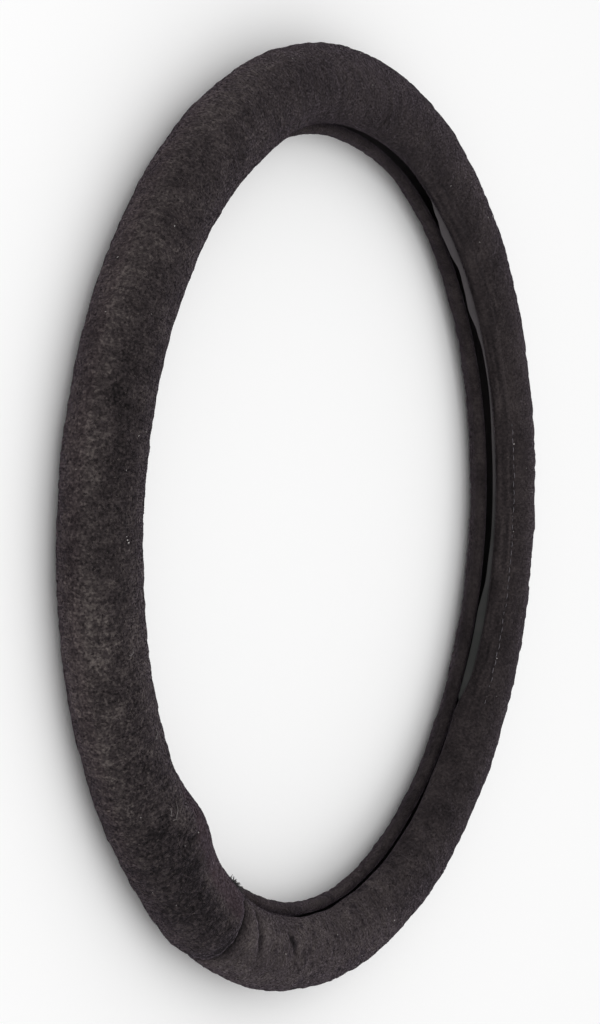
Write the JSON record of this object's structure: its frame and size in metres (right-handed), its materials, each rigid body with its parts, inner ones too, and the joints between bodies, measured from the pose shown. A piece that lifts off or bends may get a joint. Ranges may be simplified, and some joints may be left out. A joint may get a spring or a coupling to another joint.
{
  "type": "steering wheel cover",
  "caption": "Ring-shaped plush cover on a moulded channel liner that opens inwards and grips the rim of a car's steering wheel.",
  "frame": {"origin": "centre of the ring, on the surface that its back lies on", "axes": "+Z is the axis of the wheel, towards the driver's side of the cover; +X is the right side and +Y the top, as seen from the driver's side"},
  "size_m": [0.3899, 0.3897, 0.0314],
  "materials": {
    "plush": "short-pile velour, charcoal grey, brushed in patches",
    "liner": "moulded, matte mid grey"
  },
  "bodies": {
    "root": {"plush_cover": "plush", "liner_ring": "liner"}
  },
  "joints": []
}
